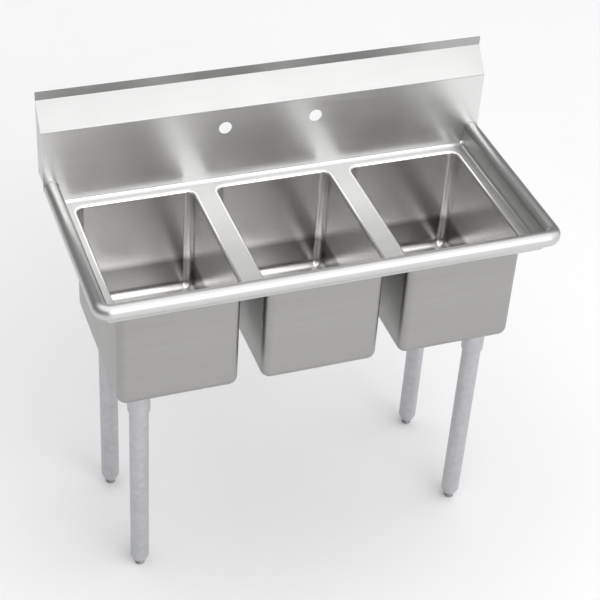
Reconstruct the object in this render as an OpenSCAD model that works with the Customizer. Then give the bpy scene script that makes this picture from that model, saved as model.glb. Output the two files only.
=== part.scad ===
// Three compartment sink with a backsplash, rolled rims, tubular legs and basket drains.
// Millimetres, +Z up. The origin is at floor level under the middle of the sink,
// the front is at -Y and the wall side is at +Y.

/* [Overall size] */
// Length along the wall, over the rolled rims
overall_w = 990.6; // [960:0.1:1100]
// Depth from the front of the rolled rim to the wall
overall_d = 496; // [480:0.5:560]
// Height from the floor to the top edge of the backsplash
overall_h = 1022; // [1000:0.5:1150]
// Height of the flat deck above the floor
deck_z = 775; // [700:0.5:780]
// Thickness of the stainless sheet
sheet_t = 1.3; // [1:0.1:2]

/* [Bowls] */
// Inside length of one bowl, along the wall
bowl_w = 254; // [200:0.5:260]
// Inside width of one bowl, front to back
bowl_d = 355.6; // [300:0.1:360]
// Depth of one bowl from the deck to its floor
bowl_h = 254; // [150:0.5:300]
// Distance between the centres of two neighbouring bowls
bowl_pitch = 307.6; // [300:0.1:312]
// Inside radius of the bowl's vertical corners and of the cove at its floor
bowl_corner_r = 19; // [12:0.5:30]
// Radius of the bend from the deck down into a bowl
bowl_lip_r = 6; // [3:0.5:7]
// Radius of the opening stamped for the drain
drain_hole_r = 45; // [44:0.5:50]
// Depth of the stamped seat that the drain flange lies in
drain_seat_depth = 3; // [2:0.5:5]

/* [Rolled rim] */
// Outside radius of the roll
roll_r = 16.5; // [12:0.5:20]
// Height of the roll's axis above the deck
roll_rise = 39.5; // [30:0.5:50]
// Radius of the cove between the deck and the roll's web
rim_cove_r = 5; // [3:0.5:8]
// Angle that the sheet is rolled through, from the web over the top and under
roll_sweep = 300; // [240:5:320]

/* [Backsplash] */
// Distance from the wall to the front face of the backsplash
splash_depth = 45; // [35:0.5:60]
// Height of the front face above the deck
splash_face_h = 174; // [120:1:200]
// Angle of the sloped top, measured from upright
splash_slope = 40; // [30:1:60]
// Radius of the cove between the deck and the backsplash
splash_cove_r = 8; // [4:0.5:10]
// Outside radius of the bend at the foot of the slope
splash_bend_r = 4; // [2:0.5:8]
// Inside radius of the bend at the head of the slope
splash_lip_bend_r = 3; // [2:0.5:6]
// Distance between the two faucet holes
faucet_spacing = 203.2; // [100:0.1:250]
// Height of the faucet holes above the deck
faucet_rise = 129; // [60:1:150]
// Radius of a faucet hole
faucet_hole_r = 14.3; // [10:0.1:18]

/* [Legs] */
// Distance from the middle of the sink to a leg's axis, along the wall
leg_x = 381; // [340:1:395]
// Distance of the front legs' axes in front of the middle
leg_front_y = 129; // [100:1:140]
// Distance of the rear legs' axes behind the middle
leg_rear_y = 140; // [100:1:142]
// Outside radius of the leg tube
leg_r = 20.65; // [18:0.05:22]
// Wall thickness of the leg tube
leg_wall = 1.5; // [1:0.1:3]
// Length of the socket under its mounting plate
socket_len = 57; // [50:1:90]
// Side of the square mounting plate
gusset_side = 64; // [56:1:72]
// Height of the tapered nose of the leg insert
insert_nose_h = 18; // [12:1:30]
// Radius at the tip of the nose
insert_tip_r = 13; // [11:0.5:18]
// Radius of the adjustable foot
foot_r = 10.75; // [9:0.25:14]
// Height of the adjustable foot below the nose when it is screwed right in
foot_h = 12; // [8:1:30]
// Radius of the foot's stud
stud_r = 6; // [4:0.5:8]

/* [Drains] */
// Inside radius of the strainer body's throat
throat_r = 41; // [39:0.5:42]
// Length of the strainer body below its flange, down to the outlet's shoulder
body_depth = 48; // [44:1:60]
// Outside radius of the tailpiece
tailpiece_r = 19.05; // [16:0.05:20]
// Length of the tailpiece below its coupling nut
tailpiece_len = 45; // [30:1:50]

/* [Hidden] */
$fn = 96;

half_w = overall_w / 2;
half_d = overall_d / 2;
lap = 1;                                             // bite of a cut beyond a surface

// Rolled rim: the deck ends at the rim axis, where the cove to the web starts
rim_x = half_w - 2 * roll_r - rim_cove_r;
rim_y = -(half_d - 2 * roll_r - rim_cove_r);
roll_z = deck_z + roll_rise;

// Backsplash
face_y = half_d - splash_depth;
ledge_y = face_y - splash_cove_r;
roll_x = half_w - roll_r;                            // axis of a side roll
face_top_z = deck_z + splash_face_h;
bend_run = (splash_bend_r + splash_lip_bend_r) * (1 - cos(splash_slope));
slope_len = (splash_depth - sheet_t - bend_run) / sin(splash_slope);
slope_foot = [face_y + splash_bend_r * (1 - cos(splash_slope)),
              face_top_z + splash_bend_r * sin(splash_slope)];
slope_head = slope_foot + slope_len * [sin(splash_slope), cos(splash_slope)];
lip_bend_c = slope_head + splash_lip_bend_r * [-cos(splash_slope), sin(splash_slope)];
cap_foot_z = roll_z + 14;                            // lower edge of the end caps

// Bowls
corner_x = bowl_w / 2 - bowl_corner_r;
corner_y = bowl_d / 2 - bowl_corner_r;
bowl_floor_z = deck_z - bowl_h;
bowl_under_z = bowl_floor_z - sheet_t;
seat_z = bowl_floor_z - drain_seat_depth;
seat_r = drain_hole_r + 15;

// Legs
gusset_t = 3;
socket_wall = 3.3;
socket_gap = 0.15;                                   // slip of the leg in its socket
socket_in_r = leg_r + socket_gap;
socket_out_r = socket_in_r + socket_wall;
socket_chamfer = 2.5;
socket_top_z = bowl_under_z - gusset_t;
socket_foot_z = socket_top_z - socket_len;
set_screw_r = 4;
set_screw_z = socket_foot_z + 16;
leg_foot_z = foot_h + insert_nose_h;
leg_top_z = socket_top_z - 2;
insert_plug_h = 30;
stud_len = 40;
stud_gap = 0.05;                                     // running clearance of the stud
thread_hole_depth = stud_len + 2;

// Drains, by height. The flange lies in the stamped seat.
flange_r = drain_hole_r + 10.5;
flange_t = 1.6;
throat_wall = 2;
body_foot_z = seat_z - body_depth;
outlet_r = 23.8;
outlet_bore_r = 18;
outlet_len = 18;
outlet_foot_z = body_foot_z - outlet_len;
valve_seat_z = body_foot_z + 15;                     // foot of the cone that the stopper closes
valve_seat_h = 8;
valve_seat_r = 29;
under_seat_z = seat_z - sheet_t;
gasket_t = 3;
friction_t = 0.8;
locknut_h = 10;
locknut_top_z = under_seat_z - gasket_t - friction_t;
nut_h = 17;
nut_shelf_t = 3;
tail_flange_t = 2;
tailpiece_wall = 1.3;
tail_top_z = outlet_foot_z;
nut_foot_z = tail_top_z - tail_flange_t - nut_shelf_t;
basket_r = 36;
basket_rim_r = throat_r - 0.6;
basket_top_z = seat_z - 1;
stopper_z = valve_seat_z + 3.1;
stopper_r = 33;
stopper_t = 4;
basket_floor_z = stopper_z + stopper_t;
post_r = 3.2;
knob_r = 9;
knob_top_z = bowl_floor_z + 9;

stainless = [0.72, 0.72, 0.70];
galvanised = [0.74, 0.74, 0.77];
dark_steel = [0.36, 0.36, 0.38];
chromed = [0.80, 0.80, 0.82];
black_rubber = [0.10, 0.10, 0.10];
fibre = [0.72, 0.66, 0.52];

// ---- Shared shapes -------------------------------------------------------------------

// Part of a flat ring between the angles a0 and a1
module ring_sector(r_out, r_in, a0, a1) {
    steps = ceil((a1 - a0) / 45);
    fan = [for (i = [0:steps]) let (a = a0 + (a1 - a0) * i / steps)
        2 * r_out * [cos(a), sin(a)]];
    intersection() {
        difference() {
            circle(r_out);
            circle(r_in);
        }
        polygon(concat([[0, 0]], fan));
    }
}

// Rectangle with round corners, made of strips and quarter discs
module rounded_rect(w, d, r) {
    square([w, d - 2 * r], center = true);
    for (side = [-1, 1]) {
        translate([-w / 2 + r, side > 0 ? d / 2 - r : -d / 2]) square([w - 2 * r, r]);
        for (end = [-1, 1])
            translate([end * (w / 2 - r), side * (d / 2 - r)])
                intersection() {
                    circle(r);
                    translate([end > 0 ? 0 : -r, side > 0 ? 0 : -r]) square(r);
                }
    }
}

// Extrudes a section drawn as (outward, up) along +X, with outward pointing to -Y
module run_along_front(length) {
    translate([-length / 2, 0, 0]) mirror([0, 1, 0]) rotate([90, 0, 90])
        linear_extrude(length) children();
}

// Extrudes a section drawn as (y, z) along X, centred
module run_along_wall(length) {
    translate([-length / 2, 0, 0]) rotate([90, 0, 90]) linear_extrude(length) children();
}

// A ring or disc turned from a section drawn as (radius, z)
module turned() {
    rotate_extrude() children();
}

// ---- Sheet metal top -----------------------------------------------------------------

module deck() {
    color(stainless)
    translate([0, 0, deck_z - sheet_t]) linear_extrude(sheet_t)
        difference() {
            translate([-rim_x, rim_y]) square([2 * rim_x, ledge_y - rim_y]);
            for (i = [-1:1]) translate([i * bowl_pitch, 0])
                rounded_rect(bowl_w + 2 * bowl_lip_r, bowl_d + 2 * bowl_lip_r,
                             bowl_corner_r + bowl_lip_r);
        }
}

// Section of the rim, from the end of the deck outward: cove, web and roll
module rim_section() {
    translate([0, deck_z + rim_cove_r])
        ring_sector(rim_cove_r + sheet_t, rim_cove_r, -90, 0);
    translate([rim_cove_r, deck_z + rim_cove_r])
        square([sheet_t, roll_rise - rim_cove_r]);
    translate([rim_cove_r + roll_r, roll_z])
        ring_sector(roll_r, roll_r - sheet_t, 180 - roll_sweep, 180);
}

module front_rim() {
    color(stainless) {
        translate([0, rim_y, 0]) run_along_front(2 * rim_x) rim_section();
        translate([rim_x, rim_y, 0]) rotate([0, 0, -90]) rotate_extrude(angle = 90) rim_section();
        translate([-rim_x, rim_y, 0]) rotate([0, 0, 180]) rotate_extrude(angle = 90) rim_section();
    }
}

module side_rim(side) {
    color(stainless)
    mirror([side < 0 ? 1 : 0, 0, 0])
        translate([rim_x, face_y, 0]) rotate([90, 0, 0]) linear_extrude(face_y - rim_y)
            rim_section();
}

// Section of the cove at the foot of the backsplash, between the two webs
module splash_cove_section() {
    translate([ledge_y, deck_z + splash_cove_r])
        ring_sector(splash_cove_r + sheet_t, splash_cove_r, -90, 0);
}

// Foot of the face, drawn as (x, z). It fits between the webs, and its corners follow the rolls.
module splash_foot_outline() {
    web_x = rim_x + rim_cove_r + sheet_t;
    foot_z = deck_z + splash_cove_r;
    translate([-web_x, foot_z]) square([2 * web_x, roll_z - roll_r - foot_z]);
    translate([-roll_x, roll_z - roll_r]) square([2 * roll_x, roll_r]);
    for (side = [-1, 1]) {
        translate([side > 0 ? rim_x : -web_x, deck_z - sheet_t])
            square([web_x - rim_x, splash_cove_r + sheet_t]);
        translate([side * roll_x, roll_z])
            intersection() {
                circle(roll_r);
                translate([side > 0 ? 0 : -roll_r, -roll_r]) square(roll_r);
            }
    }
}

// Upper part, over the full length: face, bend, slope, bend and upright lip
module splash_section() {
    translate([face_y, roll_z]) square([sheet_t, face_top_z - roll_z]);
    translate([face_y + splash_bend_r, face_top_z])
        ring_sector(splash_bend_r, splash_bend_r - sheet_t, 180 - splash_slope, 180);
    translate(slope_foot) rotate(-splash_slope) square([sheet_t, slope_len]);
    translate(lip_bend_c)
        ring_sector(splash_lip_bend_r + sheet_t, splash_lip_bend_r, -splash_slope, 0);
    translate([half_d - sheet_t, lip_bend_c[1]]) square([sheet_t, overall_h - lip_bend_c[1]]);
}

module backsplash() {
    color(stainless)
    difference() {
        union() {
            run_along_wall(2 * rim_x) splash_cove_section();
            run_along_wall(overall_w) splash_section();
            translate([0, face_y + sheet_t, 0]) rotate([90, 0, 0])
                linear_extrude(sheet_t) splash_foot_outline();
        }
        for (side = [-1, 1])
            translate([side * faucet_spacing / 2, face_y - lap, deck_z + faucet_rise])
                rotate([-90, 0, 0]) cylinder(h = sheet_t + 2 * lap, r = faucet_hole_r);
    }
}

// Plate that closes the end of the hollow behind the backsplash
module splash_end_cap(side) {
    back_y = face_y + sheet_t;
    inner_bend = splash_bend_r - sheet_t;
    slope_back = sheet_t * [cos(splash_slope), -sin(splash_slope)];
    outline = [
        [back_y, cap_foot_z],
        [back_y, face_top_z],
        [face_y + splash_bend_r - inner_bend * cos(splash_slope),
         face_top_z + inner_bend * sin(splash_slope)],
        slope_head + slope_back,
        [half_d, slope_head[1] + slope_back[1]],
        [half_d, cap_foot_z]
    ];
    color(stainless)
    translate([side > 0 ? half_w - sheet_t : -half_w, 0, 0])
        rotate([90, 0, 90]) linear_extrude(sheet_t) polygon(outline);
}

// Section of the bowl's wall, outward from a corner axis: cove, wall and lip
module bowl_section() {
    translate([0, bowl_floor_z + bowl_corner_r])
        ring_sector(bowl_corner_r + sheet_t, bowl_corner_r, -90, 0);
    translate([bowl_corner_r, bowl_floor_z + bowl_corner_r])
        square([sheet_t, bowl_h - bowl_corner_r - bowl_lip_r]);
    translate([bowl_corner_r + bowl_lip_r, deck_z - bowl_lip_r])
        ring_sector(bowl_lip_r, bowl_lip_r - sheet_t, 90, 180);
}

// Stamped seat round the drain opening
module drain_seat() {
    step = 3;
    turned() polygon([
        [drain_hole_r, seat_z], [seat_r - step, seat_z], [seat_r, bowl_floor_z],
        [seat_r, bowl_under_z], [seat_r - step, under_seat_z], [drain_hole_r, under_seat_z]
    ]);
}

module bowl(index) {
    color(stainless)
    translate([index * bowl_pitch, 0, 0]) {
        for (end = [-1, 1], side = [-1, 1])
            translate([end * corner_x, side * corner_y, 0])
                rotate([0, 0, end > 0 ? (side > 0 ? 0 : -90) : (side > 0 ? 90 : 180)])
                    rotate_extrude(angle = 90) bowl_section();
        for (end = [-1, 1])
            rotate([0, 0, end > 0 ? 0 : 180]) translate([corner_x, corner_y, 0])
                rotate([90, 0, 0]) linear_extrude(2 * corner_y) bowl_section();
        for (side = [-1, 1])
            rotate([0, 0, side > 0 ? 90 : -90]) translate([corner_y, corner_x, 0])
                rotate([90, 0, 0]) linear_extrude(2 * corner_x) bowl_section();
        translate([0, 0, bowl_under_z]) linear_extrude(sheet_t)
            difference() {
                square([2 * corner_x, 2 * corner_y], center = true);
                circle(seat_r);
            }
        drain_seat();
    }
}

// ---- Legs ----------------------------------------------------------------------------

// Places a leg part at one corner: end is -1 at the left, side is -1 at the front
module at_leg(end, side) {
    translate([end * leg_x, side < 0 ? -leg_front_y : leg_rear_y, 0]) children();
}

module gusset(end, side) {
    color(galvanised)
    at_leg(end, side) translate([0, 0, socket_top_z]) linear_extrude(gusset_t)
        rounded_rect(gusset_side, gusset_side, 8);
}

module socket(end, side) {
    color(galvanised)
    at_leg(end, side) difference() {
        turned() polygon([
            [socket_in_r, socket_foot_z],
            [socket_out_r - socket_chamfer / 2, socket_foot_z],
            [socket_out_r, socket_foot_z + socket_chamfer],
            [socket_out_r, socket_top_z],
            [socket_in_r, socket_top_z]
        ]);
        translate([0, 0, set_screw_z]) rotate([side * 90, 0, 0])
            cylinder(h = 2 * socket_out_r, r = set_screw_r);
    }
}

module socket_set_screws() {
    key_r = 2;
    color(dark_steel)
    for (end = [-1, 1], side = [-1, 1])
        at_leg(end, side) translate([0, 0, set_screw_z]) rotate([side * 90, 0, 0])
            difference() {
                translate([0, 0, leg_r]) cylinder(h = socket_wall + 2, r = set_screw_r);
                translate([0, 0, leg_r + socket_wall - 1])
                    cylinder(h = 2 + 2 * lap, r = key_r, $fn = 6);
            }
}

module leg(end, side) {
    color(galvanised)
    at_leg(end, side) translate([0, 0, leg_foot_z]) difference() {
        cylinder(h = leg_top_z - leg_foot_z, r = leg_r);
        translate([0, 0, -lap])
            cylinder(h = leg_top_z - leg_foot_z + 2 * lap, r = leg_r - leg_wall);
    }
}

// Plug pressed into the tube, with a tapered nose and the foot's threaded hole
module insert(end, side) {
    plug_r = leg_r - leg_wall;
    rim_h = 3;
    color(galvanised)
    at_leg(end, side) difference() {
        turned() polygon([
            [0, foot_h], [insert_tip_r, foot_h], [leg_r - 1, leg_foot_z - rim_h],
            [leg_r, leg_foot_z - rim_h + 1], [leg_r, leg_foot_z], [plug_r, leg_foot_z],
            [plug_r, leg_foot_z + insert_plug_h], [0, leg_foot_z + insert_plug_h]
        ]);
        translate([0, 0, foot_h - lap])
            cylinder(h = thread_hole_depth + lap, r = stud_r + stud_gap);
    }
}

// Foot with its stud. It stops against the tip of the nose when it is screwed in.
module foot(end, side) {
    edge = 1.5;
    color(dark_steel)
    at_leg(end, side) turned() polygon([
        [0, 0], [foot_r - edge, 0], [foot_r, edge], [foot_r, foot_h - edge],
        [foot_r - edge, foot_h], [stud_r, foot_h], [stud_r, foot_h + stud_len - 1],
        [stud_r - 1, foot_h + stud_len], [0, foot_h + stud_len]
    ]);
}

// ---- Drains --------------------------------------------------------------------------

// Places a drain part under the middle of a bowl: index is -1, 0 or 1
module at_drain(index) {
    translate([index * bowl_pitch, 0, 0]) children();
}

module drain_body(index) {
    cone_top_z = valve_seat_z + valve_seat_h;
    color(chromed)
    at_drain(index) turned() polygon([
        [throat_r, seat_z + flange_t], [flange_r - 2, seat_z + flange_t], [flange_r, seat_z],
        [throat_r + throat_wall, seat_z], [throat_r + throat_wall, body_foot_z + 6],
        [throat_r - 4, body_foot_z], [outlet_r, body_foot_z], [outlet_r, outlet_foot_z],
        [outlet_bore_r, outlet_foot_z], [outlet_bore_r, body_foot_z + 3],
        [valve_seat_r, valve_seat_z], [throat_r, cone_top_z]
    ]);
}

// A flat ring between two heights
module washer(r_out, r_in, z0, z1) {
    turned() translate([r_in, z0]) square([r_out - r_in, z1 - z0]);
}

module drain_gasket(index) {
    color(black_rubber)
    at_drain(index) washer(flange_r, drain_hole_r, under_seat_z - gasket_t, under_seat_z);
}

module friction_ring(index) {
    color(fibre)
    at_drain(index) washer(flange_r - 1, drain_hole_r, locknut_top_z,
                           under_seat_z - gasket_t);
}

// Ring nut with lugs for the spanner
module locknut(index) {
    lug_count = 6;
    lug_h = 7;
    band = 6;
    nut_in_r = throat_r + throat_wall;
    color(chromed)
    at_drain(index) {
        washer(flange_r - 2, nut_in_r, locknut_top_z - 3, locknut_top_z);
        washer(nut_in_r + band, nut_in_r, locknut_top_z - locknut_h, locknut_top_z - 3);
        for (i = [0:lug_count - 1]) rotate([0, 0, i * 360 / lug_count])
            translate([nut_in_r + band - 1, -4, locknut_top_z - 3 - lug_h])
                cube([5, 8, lug_h]);
    }
}

// Thin pipe hung from its flange, with a bead where the coupling nut centres it
module tailpiece(index) {
    tail_foot_z = nut_foot_z - tailpiece_len;
    bead_r = tailpiece_r + 0.25;
    color(chromed)
    at_drain(index) turned() polygon([
        [tailpiece_r - tailpiece_wall, tail_top_z], [outlet_r - 1, tail_top_z],
        [outlet_r - 1, tail_top_z - tail_flange_t], [bead_r, tail_top_z - tail_flange_t],
        [bead_r, nut_foot_z], [tailpiece_r, nut_foot_z], [tailpiece_r, tail_foot_z],
        [tailpiece_r - tailpiece_wall, tail_foot_z]
    ]);
}

// Eight sided nut that clamps the tailpiece's flange to the outlet
module coupling_nut(index) {
    across = outlet_r + 6;
    color(chromed)
    at_drain(index) translate([0, 0, nut_foot_z]) difference() {
        intersection() {
            cylinder(h = nut_h, r = across / cos(22.5), $fn = 8);
            cylinder(h = nut_h, r = across + 1.6);
        }
        translate([0, 0, -lap]) cylinder(h = nut_h + 2 * lap, r = tailpiece_r + 0.4);
        translate([0, 0, nut_shelf_t]) cylinder(h = nut_h, r = outlet_r);
    }
}

// Pierced cup that catches food scraps
module basket(index) {
    wall = 1;
    rim_t = 1;
    side_holes = 12;
    floor_holes = 6;
    hole_r = 2.5;
    color(chromed)
    at_drain(index) difference() {
        turned() polygon([
            [0, basket_floor_z], [basket_r - 4, basket_floor_z], [basket_r, basket_floor_z + 4],
            [basket_r, basket_top_z - rim_t], [basket_rim_r, basket_top_z - rim_t],
            [basket_rim_r, basket_top_z], [basket_r - wall, basket_top_z],
            [basket_r - wall, basket_floor_z + 4.5], [basket_r - 4.5, basket_floor_z + wall],
            [0, basket_floor_z + wall]
        ]);
        translate([0, 0, basket_floor_z - lap]) cylinder(h = wall + 2 * lap, r = post_r);
        for (i = [0:side_holes - 1])
            translate([0, 0, basket_floor_z + 11])
                rotate([0, 90, i * 360 / side_holes])
                    translate([0, 0, basket_r - 3]) cylinder(h = 6, r = hole_r);
        for (ring = [0:1], i = [0:floor_holes * (ring + 1) - 1])
            rotate([0, 0, i * 360 / (floor_holes * (ring + 1))])
                translate([14 + ring * 10, 0, basket_floor_z - lap])
                    cylinder(h = wall + 2 * lap, r = hole_r);
    }
}

module stopper(index) {
    color(black_rubber)
    at_drain(index) washer(stopper_r, post_r, stopper_z, stopper_z + stopper_t);
}

// Post through the basket, with a collar under the stopper and a knob to lift it by
module basket_post(index) {
    collar_r = 7;
    collar_h = 2;
    knob_h = 10;
    color(chromed)
    at_drain(index) turned() polygon([
        [0, stopper_z - collar_h], [collar_r, stopper_z - collar_h], [collar_r, stopper_z],
        [post_r, stopper_z], [post_r, knob_top_z - knob_h], [knob_r - 3, knob_top_z - knob_h],
        [knob_r, knob_top_z - knob_h + 3], [knob_r, knob_top_z - 3], [knob_r - 3, knob_top_z],
        [0, knob_top_z]
    ]);
}

// ---- Nodes ---------------------------------------------------------------------------

deck();
backsplash();
splash_end_cap(-1);  // splash_end_cap_left
splash_end_cap(1);  // splash_end_cap_right
front_rim();
side_rim(-1);  // left_rim
side_rim(1);  // right_rim
bowl(-1);  // left_bowl
bowl(0);  // center_bowl
bowl(1);  // right_bowl

gusset(-1, -1);  // gusset_front_left
gusset(1, -1);  // gusset_front_right
gusset(-1, 1);  // gusset_rear_left
gusset(1, 1);  // gusset_rear_right
socket(-1, -1);  // socket_front_left
socket(1, -1);  // socket_front_right
socket(-1, 1);  // socket_rear_left
socket(1, 1);  // socket_rear_right
socket_set_screws();
leg(-1, -1);  // leg_front_left
leg(1, -1);  // leg_front_right
leg(-1, 1);  // leg_rear_left
leg(1, 1);  // leg_rear_right
insert(-1, -1);  // insert_front_left
insert(1, -1);  // insert_front_right
insert(-1, 1);  // insert_rear_left
insert(1, 1);  // insert_rear_right
foot(-1, -1);  // foot_front_left
foot(1, -1);  // foot_front_right
foot(-1, 1);  // foot_rear_left
foot(1, 1);  // foot_rear_right

drain_body(-1);  // drain_body_left
drain_gasket(-1);  // drain_gasket_left
friction_ring(-1);  // friction_ring_left
locknut(-1);  // locknut_left
tailpiece(-1);  // tailpiece_left
coupling_nut(-1);  // coupling_nut_left
basket(-1);  // basket_left
stopper(-1);  // stopper_left
basket_post(-1);  // basket_post_left

drain_body(0);  // drain_body_center
drain_gasket(0);  // drain_gasket_center
friction_ring(0);  // friction_ring_center
locknut(0);  // locknut_center
tailpiece(0);  // tailpiece_center
coupling_nut(0);  // coupling_nut_center
basket(0);  // basket_center
stopper(0);  // stopper_center
basket_post(0);  // basket_post_center

drain_body(1);  // drain_body_right
drain_gasket(1);  // drain_gasket_right
friction_ring(1);  // friction_ring_right
locknut(1);  // locknut_right
tailpiece(1);  // tailpiece_right
coupling_nut(1);  // coupling_nut_right
basket(1);  // basket_right
stopper(1);  // stopper_right
basket_post(1);  // basket_post_right
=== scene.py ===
import math

import bpy
import numpy as np
from mathutils import Matrix, Vector


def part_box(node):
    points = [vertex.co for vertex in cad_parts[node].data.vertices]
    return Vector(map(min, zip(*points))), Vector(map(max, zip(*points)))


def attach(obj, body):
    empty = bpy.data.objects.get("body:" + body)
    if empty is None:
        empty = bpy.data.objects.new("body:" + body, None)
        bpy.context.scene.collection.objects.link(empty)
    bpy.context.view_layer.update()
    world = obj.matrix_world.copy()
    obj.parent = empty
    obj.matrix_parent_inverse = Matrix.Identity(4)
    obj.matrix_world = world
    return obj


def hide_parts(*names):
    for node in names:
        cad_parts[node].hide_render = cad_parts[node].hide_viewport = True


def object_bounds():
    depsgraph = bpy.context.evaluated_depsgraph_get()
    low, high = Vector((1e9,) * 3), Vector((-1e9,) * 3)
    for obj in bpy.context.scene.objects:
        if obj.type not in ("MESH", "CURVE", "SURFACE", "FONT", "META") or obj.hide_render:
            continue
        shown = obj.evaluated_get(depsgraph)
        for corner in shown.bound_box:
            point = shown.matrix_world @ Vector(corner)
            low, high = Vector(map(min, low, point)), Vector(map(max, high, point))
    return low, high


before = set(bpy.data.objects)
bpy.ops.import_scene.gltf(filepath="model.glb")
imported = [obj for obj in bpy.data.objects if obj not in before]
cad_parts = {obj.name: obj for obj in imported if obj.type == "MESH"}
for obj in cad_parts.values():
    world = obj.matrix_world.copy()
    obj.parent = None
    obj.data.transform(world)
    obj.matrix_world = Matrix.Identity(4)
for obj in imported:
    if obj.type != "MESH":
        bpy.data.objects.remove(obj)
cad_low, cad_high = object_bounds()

# Three compartment sink. Metres, +Z up, front at -Y. The deck, rims, bowls, backsplash and its
# end caps, and the legs with their sockets, inserts and feet are rebuilt finely here and replace
# the CAD nodes. The drains, gussets and set screws stay as CAD nodes and get their finish here.

# ---- Sizes that the boxes of the CAD nodes don't give --------------------------------

TINY = 1e-6                   # points closer than this are one point
SHEET = 0.0013                # thickness of the stainless sheet
RIM_COVE = 0.005              # inside radius of the cove between deck and web
ROLL_SWEEP = 300              # degrees that the rim is rolled through
SPLASH_COVE = 0.008           # inside radius of the cove between deck and backsplash
SPLASH_BEND = 0.004           # outside radius of the bend at the foot of the slope
SPLASH_SLOPE = 40             # degrees from upright
SPLASH_LIP_BEND = 0.003       # inside radius of the bend at the foot of the lip
FACE_HEIGHT = 0.174           # front face of the backsplash above the deck
FAUCET_SPACING = 0.2032
FAUCET_RISE = 0.129
FAUCET_HOLE = 0.0143          # radius
HOLE_CELL = 0.024             # half side of the mesh cell round a faucet hole
HOLE_STEPS = 24               # steps along a side of that cell
BOWL_CORNER = 0.019           # inside radius of the corners and of the cove at the floor
BOWL_LIP = 0.006              # radius of the bend from the deck into a bowl
SEAT_DEPTH = 0.003            # stamped seat of the drain
SEAT_RING = 0.060             # radius of the seat's edge
SEAT_BEND = 0.002             # radius of the two bends down into the seat
SEAT_STEP = 0.0035            # how far inside the edge the lower bend starts
DRAIN_HOLE = 0.045            # radius
CORNERS = [(end, side) for end in ("left", "right") for side in ("front", "rear")]
BOWLS = ["left", "center", "right"]

deck_low, deck_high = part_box("deck")
_, rim_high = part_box("front_rim")
_, splash_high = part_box("backsplash")
DECK_Z = deck_high.z
RIM_X = deck_high.x
RIM_Y = deck_low.y
LEDGE_Y = deck_high.y
HALF_W = splash_high.x
WALL_Y = splash_high.y
FACE_Y = LEDGE_Y + SPLASH_COVE
ROLL = (rim_high.x - RIM_X - RIM_COVE) / 2
ROLL_Z = rim_high.z - ROLL
COVE_TOP = DECK_Z + SPLASH_COVE
SLOPE_FOOT = DECK_Z + FACE_HEIGHT
HOLE_Z = DECK_Z + FAUCET_RISE
BOWL_REACH = BOWL_CORNER + BOWL_LIP    # from the axis of a bowl's corner to the flat deck


# ---- Meshes --------------------------------------------------------------------------

def waviness(points, normals):
    """Sheet metal is never quite flat: the points and normals after a shallow swell."""
    swells = [((31, 9, 24), 0.4), ((-12, 37, 15), 2.1), ((22, -18, 33), 4.4)]
    height = 0.00008
    lift = np.full(len(points), -height * len(swells))
    slope = np.zeros_like(points)
    for vector, phase in swells:
        k = np.array(vector, float)
        angle = points @ k + phase
        lift += height * np.sin(angle)
        slope += height * np.cos(angle)[:, None] * k
    slope -= (slope * normals).sum(1)[:, None] * normals
    turned_normals = normals - slope
    turned_normals /= np.linalg.norm(turned_normals, axis=1)[:, None]
    return points + lift[:, None] * normals, turned_normals


def smooth_mesh(name, verts, faces, grain=None):
    """A smooth shaded mesh. grain has one pair (along, across) for each corner of each face."""
    mesh = bpy.data.meshes.new(name)
    mesh.from_pydata(verts, [], faces)
    if grain is not None:
        layer = mesh.uv_layers.new(name="grain")
        layer.data.foreach_set("uv", np.array(grain, float).ravel())
    mesh.polygons.foreach_set("use_smooth", [True] * len(mesh.polygons))
    return mesh


def finish_piece(name, mesh, material, nodes, body="sink"):
    """Puts a mesh in the scene as a piece of a body, in the place of CAD nodes if it has any."""
    obj = bpy.data.objects.new(name, mesh)
    bpy.context.scene.collection.objects.link(obj)
    mesh.materials.append(material)
    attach(obj, body)
    if nodes:
        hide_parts(*nodes)


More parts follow.
